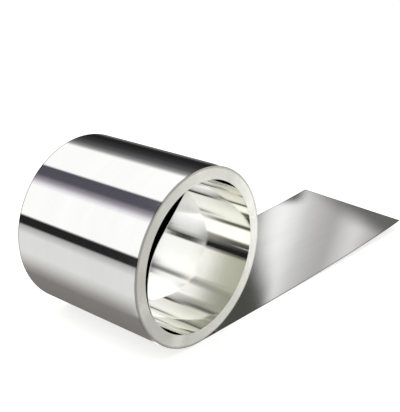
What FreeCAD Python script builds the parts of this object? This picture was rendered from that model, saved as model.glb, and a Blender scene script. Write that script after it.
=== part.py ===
# Coil of aluminium strip lying on its side, with its outer end drawn out over the floor.
# Millimetres. The origin is the middle of the bore, +Y runs along the bore and +Z is up.
# The strip leaves the underside of the coil towards +X and curls up a little towards its end.

import FreeCAD, Part

import math
import os

# The strip
strip_thickness = 0.8
strip_width = 159.0
edge_crown = 0.15          # how far the middle of a slit edge stands out past its corners

# The coil
bore_radius = 75.0
turns = 17
inner_end_angle = 108.0    # where the inner end of the strip stops, in degrees from +X towards +Z

# The drawn-out end
flat_length = 100.0        # the stretch that lies flat on the floor
curl_radius = 4360.0       # the set that the metal keeps from the coil
tip_length = 58.0          # the last stretch, which has more of that set
tip_radius = 1900.0
tail_length = 407.0        # along X, on the side towards -Y
tail_skew = 16.0           # how much longer the side towards +Y is, from a cut that isn't square

coil_radius = bore_radius + turns * strip_thickness
floor_height = -coil_radius
half_width = strip_width / 2
pitch_shift = strip_thickness / 2      # the two halves of each turn have centres this far apart

UP = FreeCAD.Vector(0, 0, 1)
ALONG_BORE = FreeCAD.Vector(0, 1, 0)
ALONG_TAIL = FreeCAD.Vector(1, 0, 0)


def wound_section(inner_radius, laps):
    """The strip's section, stacked up as wound: X is the distance from the coil's axis."""
    side = []
    for lap in range(laps):
        inner_face = inner_radius + lap * strip_thickness
        side.append((inner_face, half_width - edge_crown))
        side.append((inner_face + strip_thickness / 2, half_width))
    side.append((inner_radius + laps * strip_thickness, half_width - edge_crown))
    other_side = [(x, -y) for x, y in reversed(side)]
    points = [FreeCAD.Vector(x, y, 0) for x, y in side + other_side]
    return Part.Face(Part.makePolygon(points + points[:1]))


def half_turns(inner_radius, laps, centre_height, from_angle):
    """Half of every turn, swept 180 degrees about its own centre, starting at from_angle."""
    section = wound_section(inner_radius, laps)
    section.rotate(FreeCAD.Vector(0, 0, 0), ALONG_BORE, -from_angle)
    section.translate(UP * centre_height)
    return section.revolve(UP * centre_height, ALONG_BORE, -180)


def past_inner_end():
    """The sector over the inner end of the strip, where the innermost turn is already missing."""
    sector_start = 90.0
    section = wound_section(bore_radius, 1)
    section.rotate(FreeCAD.Vector(0, 0, 0), ALONG_BORE, -sector_start)
    return section.revolve(FreeCAD.Vector(0, 0, 0), ALONG_BORE, sector_start - inner_end_angle)


def coil():
    """The wound part. Semicircles about two centres, half a thickness apart, make the spiral."""
    outer_side = half_turns(bore_radius, turns, 0, 90.0).cut(past_inner_end())
    tail_side = half_turns(bore_radius + pitch_shift, turns - 1, pitch_shift, -90.0)
    return outer_side.fuse(tail_side)


def tail():
    """The unwound end: flat on the floor, then curling up, and more so over its last stretch."""
    section = wound_section(coil_radius - strip_thickness, 1)
    section.rotate(FreeCAD.Vector(0, 0, 0), ALONG_BORE, 90)
    flat = section.extrude(ALONG_TAIL * flat_length)
    section.translate(ALONG_TAIL * flat_length)
    curl_centre = FreeCAD.Vector(flat_length, 0, floor_height + curl_radius)
    curl = math.asin((tail_length - tip_length - flat_length) / curl_radius)
    curled = section.revolve(curl_centre, ALONG_BORE, -math.degrees(curl))
    section.rotate(curl_centre, ALONG_BORE, -math.degrees(curl))
    return flat.fuse([curled, tip(section, curl_centre, curl)]).cut(end_cut())


def tip(section, curl_centre, curl):
    """The last stretch, from the section where the curl ends. It runs past the slanting cut."""
    outwards = FreeCAD.Vector(math.sin(curl), 0, -math.cos(curl))
    centre = curl_centre + outwards * (curl_radius - tip_radius)
    tip_curl = (tip_length + 2 * tail_skew) / tip_radius
    return section.revolve(centre, ALONG_BORE, -math.degrees(tip_curl))


def end_cut():
    """All that the slanting shear cut takes off the end of the tail."""
    slope = tail_skew / strip_width
    reach = strip_width                    # well past each edge of the strip
    beyond = tail_length + tail_skew + strip_width
    corners = [
        (tail_length - slope * (reach - half_width), -reach),
        (beyond, -reach),
        (beyond, reach),
        (tail_length + slope * (reach + half_width), reach),
    ]
    below = floor_height - strip_thickness
    points = [FreeCAD.Vector(x, y, below) for x, y in corners]
    outline = Part.Face(Part.makePolygon(points + points[:1]))
    return outline.extrude(UP * coil_radius)


def aluminium_strip():
    """The whole strip as one piece: its turns, and the end drawn out from under them."""
    return coil().fuse(tail()).removeSplitter()


os.makedirs("parts", exist_ok=True)
strip = aluminium_strip()
strip.exportStep("parts/aluminium_strip.step")
print("solids", len(strip.Solids), "valid", strip.isValid(), "volume", round(strip.Volume), "mm3")
print("faces", len(strip.Faces), "box", strip.BoundBox)
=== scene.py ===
# Coil of bright aluminium strip, lying on its side with its outer end drawn out.
import math

import bmesh
import bpy
from mathutils import Matrix, Vector


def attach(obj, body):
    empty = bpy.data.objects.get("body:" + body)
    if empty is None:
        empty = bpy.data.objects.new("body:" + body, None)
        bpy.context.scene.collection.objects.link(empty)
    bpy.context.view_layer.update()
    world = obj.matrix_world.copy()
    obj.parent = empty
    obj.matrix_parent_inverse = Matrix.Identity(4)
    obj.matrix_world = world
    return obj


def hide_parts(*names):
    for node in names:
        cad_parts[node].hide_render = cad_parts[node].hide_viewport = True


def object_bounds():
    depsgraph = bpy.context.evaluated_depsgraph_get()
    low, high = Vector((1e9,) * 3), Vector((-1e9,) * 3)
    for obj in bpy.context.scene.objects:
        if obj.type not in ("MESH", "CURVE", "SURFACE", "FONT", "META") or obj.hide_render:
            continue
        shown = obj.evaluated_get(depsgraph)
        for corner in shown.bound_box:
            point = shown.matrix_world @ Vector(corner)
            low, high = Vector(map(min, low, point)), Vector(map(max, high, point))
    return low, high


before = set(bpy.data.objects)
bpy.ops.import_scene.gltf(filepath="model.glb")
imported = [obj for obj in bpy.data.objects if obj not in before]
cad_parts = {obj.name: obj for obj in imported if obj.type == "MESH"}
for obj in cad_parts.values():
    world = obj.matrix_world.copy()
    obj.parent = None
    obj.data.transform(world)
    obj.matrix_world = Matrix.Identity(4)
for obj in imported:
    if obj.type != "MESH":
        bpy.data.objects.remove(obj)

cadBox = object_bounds()
straightUp, straightDown = 90.0, 270.0        # degrees round the coil's axis, from +X towards +Z


def nothingSelected():
    if bpy.context.object and bpy.context.object.mode != "OBJECT":
        bpy.ops.object.mode_set(mode="OBJECT")
    bpy.ops.object.select_all(action="DESELECT")


def onCircle(radius, degrees, centre=(0.0, 0.0)):
    turn = math.radians(degrees)
    return centre[0] + radius * math.cos(turn), centre[1] + radius * math.sin(turn)


def addNode(tree, kind, **settings):
    node = tree.nodes.new(kind)
    for name, value in settings.items():
        setattr(node, name, value)
    return node


def setRamp(node, stops):
    ramp = node.color_ramp
    while len(ramp.elements) > 1:
        ramp.elements.remove(ramp.elements[-1])
    ramp.elements[0].position = stops[0][0]
    ramp.elements[0].color = (*stops[0][1], 1)
    for place, colour in stops[1:]:
        ramp.elements.new(place).color = (*colour, 1)


def lookUp(tree, value, stops):
    node = addNode(tree, "ShaderNodeValToRGB")
    setRamp(node, stops)
    tree.links.new(value, node.inputs["Fac"])
    return node.outputs["Color"]


def spread(tree, value, low, high):
    node = addNode(tree, "ShaderNodeMapRange", interpolation_type="SMOOTHSTEP")
    node.inputs["From Min"].default_value = low
    node.inputs["From Max"].default_value = high
    tree.links.new(value, node.inputs["Value"])
    return node.outputs["Result"]


def times(tree, first, *others):
    for other in others:
        node = addNode(tree, "ShaderNodeMath", operation="MULTIPLY")
        tree.links.new(first, node.inputs[0])
        tree.links.new(other, node.inputs[1])
        first = node.outputs["Value"]
    return first


def over(tree, share, below, above, kind="MIX"):
    node = addNode(tree, "ShaderNodeMix", data_type="RGBA", blend_type=kind)
    tree.links.new(share, node.inputs["Factor"])
    for value, name in ((below, "A"), (above, "B")):
        if isinstance(value, tuple):
            node.inputs[name].default_value = (*value, 1)
        else:
            tree.links.new(value, node.inputs[name])
    return node.outputs["Result"]


# the strip, wound from one section that bpy.ops spins round the bore
strip = dict(
    boreRadius=0.075,       # metres, as all lengths are
    pitch=0.0008,           # from one turn to the next
    thickness=0.00078,      # a hair under the pitch, so each turn shows
    width=0.159,
    edgeRound=0.00012,      # rounding on the slit edges
    edgeSegments=2,
    turns=17,
    stepsPerHalfTurn=90,
    springRadius=0.0645,    # the inner end springs off the wall along this arc
    springFrom=218.0,       # degrees round the coil where it leaves the wall
    wallSteps=26,           # from there to straight down, where the half turns start
    springSweep=81.0,
    springSteps=60,
    springStraight=0.0465,  # and runs straight to its cut end
    flatLength=0.100,
    curlRadius=4.360,
    curlSteps=40,
    tipLength=0.058,        # the last stretch curls up more
    tipRadius=1.90,
    tipSteps=16,
    tailLength=0.407,       # on the side towards -Y
    tailSkew=0.016,         # longer on the side towards +Y
    weldGap=0.000004,       # well under the gap between two turns
)


def addSection(middle, degrees, laps=1):
    s = strip
    turn = math.radians(degrees)
    nothingSelected()
    bpy.ops.mesh.primitive_plane_add(size=1, location=middle, rotation=(0, -turn, 0))
    section = bpy.context.object
    section.scale = (s["thickness"], s["width"], 1)
    bpy.ops.object.transform_apply(location=True, rotation=True, scale=True)
    bpy.ops.object.mode_set(mode="EDIT")
    bpy.ops.mesh.select_all(action="SELECT")
    bpy.ops.mesh.bevel(offset=s["edgeRound"], segments=s["edgeSegments"], affect="VERTICES")
    bpy.ops.mesh.delete(type="ONLY_FACE")                  # only its outline is drawn along
    bpy.ops.object.mode_set(mode="OBJECT")
    if laps > 1:
        stack = section.modifiers.new("laps", "ARRAY")
        stack.count = laps
        stack.use_relative_offset = False
        stack.use_constant_offset = True
        stack.constant_offset_displace = (s["pitch"] * math.cos(turn), 0, s["pitch"] * math.sin(turn))
        bpy.ops.object.modifier_apply(modifier=stack.name)
    bpy.ops.object.mode_set(mode="EDIT")
    bpy.ops.mesh.select_all(action="SELECT")
    return section


def middleOfLap(lap, degrees):
    s = strip
    x, z = onCircle(s["boreRadius"] + (lap + 1) * s["pitch"] - s["thickness"] / 2, degrees)
    return Vector((x, 0, z))


def spinOn(centre, degrees, steps):
    about = (centre[0], 0, centre[1])
    bpy.ops.mesh.spin(steps=steps, angle=math.radians(degrees), center=about, axis=(0, 1, 0))


def windInnerEnd():
    s = strip
    away = 1 - s["springRadius"] / s["boreRadius"]
    springCentre = tuple(away * c for c in onCircle(s["boreRadius"], s["springFrom"]))
    join = s["springFrom"] - s["springSweep"]
    turn = math.radians(join)
    backwards = Vector((math.sin(turn), 0, -math.cos(turn)))
    x, z = onCircle(s["springRadius"] + s["pitch"] - s["thickness"] / 2, join, springCentre)
    piece = addSection(Vector((x, 0, z)) + backwards * s["springStraight"], join)
    bpy.ops.mesh.extrude_region_move(TRANSFORM_OT_translate={"value": -backwards * s["springStraight"]})
    spinOn(springCentre, s["springSweep"], s["springSteps"])
    spinOn((0, 0), straightDown - s["springFrom"], s["wallSteps"])
    bpy.ops.object.mode_set(mode="OBJECT")
    return piece


def windHalves():
    s = strip
    shift = s["pitch"] / 2                                 # the right halves turn about a higher centre
    right = addSection(middleOfLap(0, straightDown), straightDown, laps=s["turns"] - 1)
    spinOn((0, shift), 180, s["stepsPerHalfTurn"])
    bpy.ops.object.mode_set(mode="OBJECT")
    left = addSection(middleOfLap(1, straightUp), straightUp, laps=s["turns"] - 1)
    spinOn((0, 0), 180, s["stepsPerHalfTurn"])
    bpy.ops.object.mode_set(mode="OBJECT")
    return left, right


def shearLine():
    s = strip
    middle = Vector((s["tailLength"] + s["tailSkew"] / 2, 0, 0))
    return middle, Vector((s["width"], -s["tailSkew"], 0)).normalized()


def drawTailOut():
    s = strip
    piece = addSection(middleOfLap(s["turns"] - 1, straightDown), straightDown)
    bpy.ops.mesh.extrude_region_move(TRANSFORM_OT_translate={"value": (s["flatLength"], 0, 0)})
    floorHeight = -(s["boreRadius"] + s["turns"] * s["pitch"])
    curled = s["tailLength"] - s["tipLength"] - s["flatLength"]
    curl = math.asin(curled / s["curlRadius"])
    centre = (s["flatLength"], floorHeight + s["curlRadius"])
    spinOn(centre, math.degrees(curl), s["curlSteps"])
    closer = s["curlRadius"] - s["tipRadius"]              # the tip's own centre, on the same line
    centre = (centre[0] + closer * math.sin(curl), centre[1] - closer * math.cos(curl))
    tip = (s["tipLength"] + 2 * s["tailSkew"]) / s["tipRadius"]      # past the cut on both sides
    spinOn(centre, math.degrees(tip), s["tipSteps"])
    bpy.ops.mesh.select_all(action="SELECT")
    middle, slant = shearLine()
    bpy.ops.mesh.bisect(plane_co=middle, plane_no=slant, use_fill=True, clear_outer=True)
    bpy.ops.object.mode_set(mode="OBJECT")
    return piece


def joinStrip(parts):
    nothingSelected()
    for part in parts:
        part.select_set(True)
    piece = parts[0]
    bpy.context.view_layer.objects.active = piece
    bpy.ops.object.join()
    piece.name = "aluminiumStripCoil"
    bpy.ops.object.mode_set(mode="EDIT")
    bpy.ops.mesh.select_all(action="SELECT")
    bpy.ops.mesh.remove_doubles(threshold=strip["weldGap"])
    bpy.ops.mesh.select_mode(type="EDGE")
    bpy.ops.mesh.select_all(action="DESELECT")
    cage = bmesh.from_edit_mesh(piece.data)
    for edge in cage.edges:
        edge.select = edge.is_boundary                     # the open inner end
    bmesh.update_edit_mesh(piece.data)
    bpy.ops.mesh.edge_face_add()
    bpy.ops.mesh.select_all(action="SELECT")
    bpy.ops.mesh.normals_make_consistent(inside=False)
    bpy.ops.object.mode_set(mode="OBJECT")
    return piece


stripPiece = joinStrip([windInnerEnd(), *windHalves(), drawTailOut()])
print("wound the strip:", len(stripPiece.data.polygons), "faces")


# finishes
rolledFinish = dict(
    colour=(0.95, 0.952, 0.938),
    duller=(0.925, 0.927, 0.913),
    dullerTo=0.35,                  # of the smears' noise, as colourFrom is
    colourFrom=0.60,
    smearsAlong=5.0,
    smearsAcross=60.0,
    smearDetail=4.0,
    linesAlong=6.0,                 # rolling lines, fine across the width and drawn out along the strip
    linesAcross=2600.0,
    roughLow=0.025,
    roughHigh=0.045,
    height=0.0000022,
    brushed=1.0,                    # the lines blur what the metal shows across them, along the bore
    brushedTurn=0.25,
    boreTintTo=0.0760,               # radius: inside it, the innermost turn is tinted a little darker and warmer
    boreTintFade=0.0004,
    boreTint=(0.90, 0.895, 0.872),
    paintedEdgeShade=(0.36, 0.36, 0.355),  # painted shade: a dark band along the edges and across the cut end, outlining them
    edgeShadeFrom=0.0016,             # in from the edge
    edgeShadeTo=0.0008,
)

slitFinish = dict(
    colour=(0.94, 0.94, 0.90),
    duller=(0.88, 0.88, 0.835),
    dullerTo=0.35,                  # of the patches' noise
    colourFrom=0.65,
    patches=45.0,
    patchDetail=2.0,
    grain=2200.0,
    roughLow=0.10,
    roughHigh=0.16,
    height=0.00001,
    outerRimShade=(0.60, 0.60, 0.595),     # painted shade: the outermost turns' edges are darker, outlining the rim of the end face
    outerRimShadeFrom=0.0855,              # radius
    outerRimShadeTo=0.0878,
    facing=0.3,                     # how far towards +Y or -Y a slit edge's face is turned, at least
    endCorners=9,                   # only the cut ends have so many corners
    crease=12.0,                    # degrees
)


def startMetal(name):
    material = bpy.data.materials.new(name)
    material.use_nodes = True
    tree = material.node_tree
    shader = tree.nodes["Principled BSDF"]
    shader.inputs["Metallic"].default_value = 1.0
    return material, tree, shader, addNode(tree, "ShaderNodeTexCoord").outputs["Object"]


def addNoise(tree, place, scale, detail=3.0):
    node = addNode(tree, "ShaderNodeTexNoise")
    node.inputs["Scale"].default_value = scale
    node.inputs["Detail"].default_value = detail
    tree.links.new(place, node.inputs["Vector"])
    return node.outputs["Fac"]


def drawnOut(tree, place, alongStrip, acrossWidth):
    node = addNode(tree, "ShaderNodeMapping")
    node.inputs["Scale"].default_value = (alongStrip, acrossWidth, alongStrip)
    tree.links.new(place, node.inputs["Vector"])
    return node.outputs["Vector"]


def twoTones(tree, noise, f):
    return lookUp(tree, noise, [(f["dullerTo"], f["duller"]), (f["colourFrom"], f["colour"])])


def roughen(tree, shader, noise, f):
    rough = addNode(tree, "ShaderNodeMapRange")
    rough.inputs["To Min"].default_value = f["roughLow"]
    rough.inputs["To Max"].default_value = f["roughHigh"]
    tree.links.new(noise, rough.inputs["Value"])
    tree.links.new(rough.outputs["Result"], shader.inputs["Roughness"])
    bump = addNode(tree, "ShaderNodeBump")
    bump.inputs["Distance"].default_value = f["height"]
    tree.links.new(noise, bump.inputs["Height"])
    tree.links.new(bump.outputs["Normal"], shader.inputs["Normal"])


def fromAxis(tree, place):
    flat = addNode(tree, "ShaderNodeVectorMath", operation="MULTIPLY")
    flat.inputs[1].default_value = (1, 0, 1)
    tree.links.new(place, flat.inputs[0])
    radius = addNode(tree, "ShaderNodeVectorMath", operation="LENGTH")
    tree.links.new(flat.outputs["Vector"], radius.inputs[0])
    return radius.outputs["Value"]


def fromMiddle(tree, place):
    sides = addNode(tree, "ShaderNodeSeparateXYZ")
    tree.links.new(place, sides.inputs["Vector"])
    side = addNode(tree, "ShaderNodeMath", operation="ABSOLUTE")
    tree.links.new(sides.outputs["Y"], side.inputs[0])
    return side.outputs["Value"]


def towards(tree, place, direction):
    node = addNode(tree, "ShaderNodeVectorMath", operation="DOT_PRODUCT")
    node.inputs[1].default_value = direction
    tree.links.new(place, node.inputs[0])
    return node.outputs["Value"]


def rolledMetal():
    f = rolledFinish
    material, tree, shader, place = startMetal("brightRolledAluminium")
    shader.inputs["Anisotropic"].default_value = f["brushed"]
    shader.inputs["Anisotropic Rotation"].default_value = f["brushedTurn"]
    rolling = addNode(tree, "ShaderNodeTangent", direction_type="RADIAL", axis="Y")
    tree.links.new(rolling.outputs["Tangent"], shader.inputs["Tangent"])
    smears = drawnOut(tree, place, f["smearsAlong"], f["smearsAcross"])
    smears = addNoise(tree, smears, 1.0, f["smearDetail"])
    lines = drawnOut(tree, place, f["linesAlong"], f["linesAcross"])
    lines = addNoise(tree, lines, 1.0)
    edge = strip["width"] / 2
    slit = spread(tree, fromMiddle(tree, place), edge - f["edgeShadeFrom"], edge - f["edgeShadeTo"])
    middle, slant = shearLine()
    end = middle.dot(slant)
    sheared = spread(tree, towards(tree, place, slant), end - f["edgeShadeFrom"], end - f["edgeShadeTo"])
    radius = fromAxis(tree, place)
    # the innermost turn, inside the bore, is tinted darker and warmer
    boreTintEnd = f["boreTintTo"] + f["boreTintFade"]
    inBore = spread(tree, radius, boreTintEnd, f["boreTintTo"])
    outside = spread(tree, radius, f["boreTintTo"], boreTintEnd)
    colour = over(tree, inBore, twoTones(tree, smears, f), f["boreTint"], "MULTIPLY")
    # painted shade: a dark band along the strip's edges and across its cut end, outlining them
    colour = over(tree, times(tree, slit, outside), colour, f["paintedEdgeShade"])
    colour = over(tree, sheared, colour, f["paintedEdgeShade"])
    tree.links.new(colour, shader.inputs["Base Color"])
    roughen(tree, shader, lines, f)
    return material


def slitMetal():
    f = slitFinish
    material, tree, shader, place = startMetal("slitEdgeAluminium")
    patches = addNoise(tree, place, f["patches"], f["patchDetail"])
    # painted shade on the outermost turns' edges, darkening the rim of the end face
    outerRimShade = spread(tree, fromAxis(tree, place), f["outerRimShadeFrom"], f["outerRimShadeTo"])
    colour = over(tree, outerRimShade, twoTones(tree, patches, f), f["outerRimShade"], "MULTIPLY")
    tree.links.new(colour, shader.inputs["Base Color"])
    roughen(tree, shader, addNoise(tree, place, f["grain"]), f)
    return material


def dressStrip(piece):
    piece.data.materials.append(rolledMetal())
    piece.data.materials.append(slitMetal())
    nothingSelected()
    piece.select_set(True)
    bpy.context.view_layer.objects.active = piece
    bpy.ops.object.mode_set(mode="EDIT")
    bpy.ops.mesh.select_mode(type="FACE")
    bpy.ops.mesh.select_all(action="DESELECT")
    cage = bmesh.from_edit_mesh(piece.data)
    for face in cage.faces:
        cutEnd = len(face.verts) >= slitFinish["endCorners"]
        face.select = cutEnd or abs(face.normal.y) > slitFinish["facing"]
    bmesh.update_edit_mesh(piece.data)
    piece.active_material_index = 1
    bpy.ops.object.material_slot_assign()
    bpy.ops.object.mode_set(mode="OBJECT")
    bpy.ops.object.shade_smooth_by_angle(angle=math.radians(slitFinish["crease"]))


dressStrip(stripPiece)
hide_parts("aluminium_strip")
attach(stripPiece, "root")
print("dressed the strip")


# floor, light and camera
studio = dict(
    floorSize=12.0,
    floorColour=(0.86, 0.86, 0.86),
    floorRough=0.9,
    floorLift=0.50,           # a glow that only the camera sees
    roomLight=0.75,           # on what isn't mirrored
    lampPlace=(-0.6, 0.5, 1.6),
    lampAim=(0.1, 0.0, -0.1),
    lampSize=1.6,
    lampPower=9.0,
)

# fitted to the outlines in the photograph: the eye, and the picture's own right, up and back
photoView = dict(
    eye=(-0.55083, -0.53576, 0.31426),
    right=(0.6460, -0.7631, 0.0192),
    up=(0.2509, 0.2361, 0.9388),
    back=(-0.7209, -0.6016, 0.3440),
    lens=72.85,               # millimetres, as the sensor is
    sensor=36.0,
    clipStart=0.01,
)

# what the metal shows, by the angle round the coil's axis from +X towards +Z
panels = [
    (0, (0.035, 0.035, 0.033)), (12, (0.014, 0.014, 0.014)), (20, (0.022, 0.022, 0.024)),
    (30, (0.036, 0.036, 0.038)), (42, (0.10, 0.10, 0.105)), (50, (0.30, 0.30, 0.30)),
    (56, (1.035, 1.035, 1.035)), (100.6, (1.035, 1.035, 1.035)), (102.2, (0.083, 0.08, 0.10)),
    (116, (0.09, 0.085, 0.11)), (123, (0.35, 0.33, 0.38)), (128, (0.75, 0.74, 0.80)),
    (133, (1.035, 1.035, 1.035)), (174.8, (1.035, 1.035, 1.035)), (176.4, (0.018, 0.018, 0.019)),
    (187, (0.018, 0.018, 0.019)), (189.5, (0.42, 0.42, 0.42)), (200, (0.75, 0.75, 0.75)),
    (226, (0.75, 0.75, 0.745)), (236, (0.60, 0.60, 0.58)), (250, (0.36, 0.345, 0.33)),
    (262, (0.22, 0.205, 0.195)), (305, (0.19, 0.18, 0.17)), (335, (0.15, 0.145, 0.135)),
]

# what shows in the bore, past the ends of those panels: greys
borePanels = [
    (2, 0.02), (13, 0.02), (20, 0.24), (28, 0.38), (40, 0.56), (48, 0.60), (52, 1.05), (56, 1.50),
    (86, 1.50), (98, 1.22), (108.5, 1.10), (111.5, 0.32), (114.5, 0.27), (118, 0.80), (121, 1.15),
    (128, 1.26), (152, 1.14), (167.3, 1.12), (170, 0.01), (175.7, 0.01), (177.5, 0.40), (184, 0.86),
    (198, 1.02), (206, 1.15), (214, 1.62), (244, 1.60), (254, 0.66), (263, 0.60), (271, 1.05),
    (284, 1.80), (346, 1.70), (356, 0.45),
]

# and further in, where the wall is warmer
deepPanels = [
    (0, 0.05), (3, 0.02), (15, 0.02), (23, 0.07), (43, 0.13), (47, 0.50), (50, 1.10), (54, 1.50),
    (60, 1.60), (88, 1.55), (92, 0.80), (95.5, 0.10), (99.5, 0.12), (102, 0.25), (105, 1.00),
    (109, 1.24), (132, 1.22), (162, 0.90), (172, 0.92), (176.5, 0.58), (181, 0.20), (186, 0.16),
    (193, 0.42), (200, 0.48), (210, 0.41), (248, 0.38), (257, 0.42), (270, 0.60), (285, 0.28),
    (300, 0.58), (347, 0.57), (356, 0.14),
]

# the share of blue in those greys, up to an angle and past it
boreBlue = dict(upTo=1.0, past=1.03)
deepBlue = dict(upTo=0.94, past=0.84)
blueTurnsAt = 195.0

# beyond the drawn-out end, by the share of the ray that goes along the axis
screen = [
    (0.425, (0.72, 0.70, 0.70)), (0.444, (0.84, 0.82, 0.81)), (0.457, (0.62, 0.60, 0.60)),
    (0.468, (0.43, 0.415, 0.415)), (0.482, (0.49, 0.48, 0.48)), (0.496, (0.60, 0.60, 0.60)),
    (0.506, (0.78, 0.78, 0.78)), (0.520, (0.95, 0.95, 0.95)), (0.538, (0.95, 0.95, 0.95)),
    (0.549, (0.62, 0.62, 0.62)),
]
hood = (0.13, 0.13, 0.128)            # over it
curtain = (0.068, 0.069, 0.060)       # and on its near side

# the bench in front, which the slit edges show, by the leaning share across
bench = [
    (0.70, (0.57, 0.57, 0.55)), (0.75, (0.54, 0.54, 0.515)), (0.77, (0.58, 0.58, 0.55)),
    (0.79, (0.66, 0.66, 0.625)), (0.806, (0.70, 0.70, 0.655)), (0.816, (0.76, 0.76, 0.73)),
    (0.822, (0.82, 0.82, 0.80)), (0.832, (1.60, 1.60, 1.58)), (0.87, (1.60, 1.60, 1.58)),
    (0.91, (0.55, 0.55, 0.54)),
]

farEnd = (0.80, 0.80, 0.80)           # the panels' far ends are dimmer
lip = (0.90, 0.88, 0.86)              # and one has a pale near end, which only the bore shows

# the rest of the room, which the metal shows to the other sides, by the share up
room = [
    (0.0, (0.30, 0.30, 0.29)), (0.10, (0.88, 0.88, 0.87)), (0.35, (0.72, 0.72, 0.71)),
    (0.80, (0.42, 0.42, 0.42)),
]

# where each of them begins and ends, from nothing to all of it
angles = dict(
    overhead=(40, 60), overheadEnd=(218, 204), deepOverheadEnd=(214, 196),
    screen=(26, 28), screenEnd=(40, 36), lip=(218, 230), lipEnd=(258, 250),
)
sharesAlong = dict(
    lip=(0.6215, 0.6185), bore=(0.600, 0.591), deep=(0.593, 0.557), deepOverhead=(0.598, 0.580),
    screen=(0.557, 0.549), curtain=(0.500, 0.514), room=(0.36, 0.20), farEnd=(0.77, 0.85),
    bench=(0.18, 0.08),
)
sharesUp = dict(bench=(0.02, -0.02))
leaning = dict(                       # of one share and some of another
    hood=(0.324, 0.359), hoodLean=-0.27,             # up, with so much of along
    curtain=(1.169, 1.190), curtainLean=1.5,         # along, with so much of up
    boreLean=-0.028,                                 # along, with so much of being overhead
    benchLean=-0.2,                                  # across, with so much of up
)


def straightRays(tree):
    path = addNode(tree, "ShaderNodeLightPath")
    either = addNode(tree, "ShaderNodeMath", operation="MAXIMUM")
    tree.links.new(path.outputs["Is Camera Ray"], either.inputs[0])
    tree.links.new(path.outputs["Is Transmission Ray"], either.inputs[1])
    return either.outputs["Value"]


def layFloor():
    nothingSelected()
    bpy.ops.mesh.primitive_plane_add(size=studio["floorSize"], location=(0, 0, cadBox[0].z))
    floor = bpy.context.object
    floor.name = "floor"
    bpy.ops.object.transform_apply(location=True)
    material = bpy.data.materials.new("paleFloor")
    material.use_nodes = True
    tree = material.node_tree
    shader = tree.nodes["Principled BSDF"]
    shader.inputs["Base Color"].default_value = (*studio["floorColour"], 1)
    shader.inputs["Roughness"].default_value = studio["floorRough"]
    shader.inputs["Specular IOR Level"].default_value = 0.0
    lift = addNode(tree, "ShaderNodeMath", operation="MULTIPLY")
    lift.inputs[1].default_value = studio["floorLift"]
    tree.links.new(straightRays(tree), lift.inputs[0])
    shader.inputs["Emission Color"].default_value = (1, 1, 1, 1)
    tree.links.new(lift.outputs["Value"], shader.inputs["Emission Strength"])
    floor.data.materials.append(material)
    floor.visible_glossy = False          # the metal shows the panels instead


def background(tree, colour, strength=1.0):
    node = addNode(tree, "ShaderNodeBackground")
    node.inputs["Strength"].default_value = strength
    if isinstance(colour, tuple):
        node.inputs["Color"].default_value = (*colour, 1)
    else:
        tree.links.new(colour, node.inputs["Color"])
    return node.outputs["Background"]


def forRays(tree, share, others, these):
    node = addNode(tree, "ShaderNodeMixShader")
    tree.links.new(share, node.inputs[0])
    tree.links.new(others, node.inputs[1])
    tree.links.new(these, node.inputs[2])
    return node.outputs["Shader"]


def angleRound(tree, across, up):
    around = addNode(tree, "ShaderNodeMath", operation="ARCTAN2")
    tree.links.new(up, around.inputs[0])
    tree.links.new(across, around.inputs[1])
    share = addNode(tree, "ShaderNodeMath", operation="DIVIDE")
    share.inputs[1].default_value = 2 * math.pi
    tree.links.new(around.outputs["Value"], share.inputs[0])
    wrap = addNode(tree, "ShaderNodeMath", operation="WRAP")
    wrap.inputs[1].default_value = 1.0
    wrap.inputs[2].default_value = 0.0
    tree.links.new(share.outputs["Value"], wrap.inputs[0])
    return wrap.outputs["Value"]


def between(tree, around, start, end):
    return spread(tree, around, start / 360, end / 360)


def lookRound(tree, around, stops):
    return lookUp(tree, around, [(angle / 360, tone) for angle, tone in stops])


def within(tree, around, name):
    begun = between(tree, around, *angles[name])
    return times(tree, begun, between(tree, around, *angles[name + "End"]))


def withBlue(greys, blue):
    stops = []
    for angle, grey in greys:
        share = blue["past"] if angle > blueTurnsAt else blue["upTo"]
        stops.append((angle, (grey, grey, grey * share)))
    return stops


def lean(tree, first, second, share):
    node = addNode(tree, "ShaderNodeMath", operation="MULTIPLY_ADD")
    node.inputs[1].default_value = share
    tree.links.new(second, node.inputs[0])
    tree.links.new(first, node.inputs[2])
    return node.outputs["Value"]


def mixShares(tree, share, first, second):
    node = addNode(tree, "ShaderNodeMix", data_type="FLOAT")
    tree.links.new(share, node.inputs[0])
    tree.links.new(first, node.inputs[2])
    tree.links.new(second, node.inputs[3])
    return node.outputs[0]


def screenColour(tree, along, up):
    low, high = screen[0][0], screen[-1][0]
    spot = addNode(tree, "ShaderNodeMapRange")
    spot.inputs["From Min"].default_value = low
    spot.inputs["From Max"].default_value = high
    tree.links.new(along, spot.inputs["Value"])
    stops = [((place - low) / (high - low), tone) for place, tone in screen]
    colour = lookUp(tree, spot.outputs["Result"], stops)
    nearSide = spread(tree, lean(tree, along, up, leaning["curtainLean"]), *leaning["curtain"])
    nearSide = times(tree, nearSide, spread(tree, along, *sharesAlong["curtain"]))
    colour = over(tree, nearSide, colour, curtain)
    above = spread(tree, lean(tree, up, along, leaning["hoodLean"]), *leaning["hood"])
    return over(tree, above, colour, hood)


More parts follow.
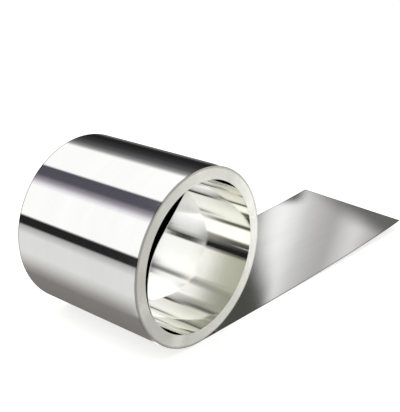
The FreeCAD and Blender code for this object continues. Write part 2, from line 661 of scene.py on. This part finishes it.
def hangPanels():
    world = bpy.data.worlds.new("studio")
    bpy.context.scene.world = world
    world.use_nodes = True
    tree = world.node_tree
    tree.nodes.clear()
    split = addNode(tree, "ShaderNodeSeparateXYZ")
    tree.links.new(addNode(tree, "ShaderNodeTexCoord").outputs["Generated"], split.inputs["Vector"])
    across, along, up = (split.outputs[name] for name in ("X", "Y", "Z"))
    around = angleRound(tree, across, up)

    onLip = times(tree, within(tree, around, "lip"), spread(tree, along, *sharesAlong["lip"]))
    colour = over(tree, onLip, lookRound(tree, around, panels), lip)

    overhead = within(tree, around, "overhead")
    inBore = spread(tree, lean(tree, along, overhead, leaning["boreLean"]), *sharesAlong["bore"])
    colour = over(tree, inBore, colour, lookRound(tree, around, withBlue(borePanels, boreBlue)))

    deepOverhead = times(tree, overhead, between(tree, around, *angles["deepOverheadEnd"]))
    inDeep = spread(tree, along, *sharesAlong["deep"])
    inDeep = mixShares(tree, deepOverhead, inDeep, spread(tree, along, *sharesAlong["deepOverhead"]))
    colour = over(tree, inDeep, colour, lookRound(tree, around, withBlue(deepPanels, deepBlue)))

    onScreen = times(tree, within(tree, around, "screen"), spread(tree, along, *sharesAlong["screen"]))
    colour = over(tree, onScreen, colour, screenColour(tree, along, up))

    colour = over(tree, spread(tree, along, *sharesAlong["room"]), colour, lookUp(tree, up, room))
    colour = over(tree, spread(tree, along, *sharesAlong["farEnd"]), colour, farEnd, "MULTIPLY")

    onBench = spread(tree, up, *sharesUp["bench"])
    onBench = times(tree, onBench, spread(tree, along, *sharesAlong["bench"]))
    leaningAcross = lean(tree, across, up, leaning["benchLean"])
    colour = over(tree, onBench, colour, lookUp(tree, leaningAcross, bench))

    path = addNode(tree, "ShaderNodeLightPath")
    plain = background(tree, (1.0, 1.0, 1.0), studio["roomLight"])
    seen = forRays(tree, path.outputs["Is Glossy Ray"], plain, background(tree, colour))
    seen = forRays(tree, straightRays(tree), seen, background(tree, (1.0, 1.0, 1.0)))
    out = addNode(tree, "ShaderNodeOutputWorld")
    tree.links.new(seen, out.inputs["Surface"])


def hangLamp():
    nothingSelected()
    bpy.ops.object.light_add(type="AREA", location=studio["lampPlace"])
    lamp = bpy.context.object
    lamp.name = "softLamp"
    lamp.data.size = studio["lampSize"]
    lamp.data.energy = studio["lampPower"]
    fromAim = Vector(studio["lampPlace"]) - Vector(studio["lampAim"])
    lamp.rotation_euler = fromAim.to_track_quat("Z", "Y").to_euler()
    lamp.visible_glossy = False


def standCamera():
    v = photoView
    bpy.ops.object.camera_add()
    camera = bpy.context.object
    camera.name = "photoCamera"
    camera.data.sensor_width = v["sensor"]
    camera.data.lens = v["lens"]
    camera.data.clip_start = v["clipStart"]
    camera.matrix_world = Matrix((*zip(v["right"], v["up"], v["back"], v["eye"]), (0, 0, 0, 1)))
    bpy.context.scene.camera = camera


layFloor()
hangPanels()
hangLamp()
standCamera()
bpy.context.scene.view_settings.view_transform = "Standard"
print("set up floor, light and camera")
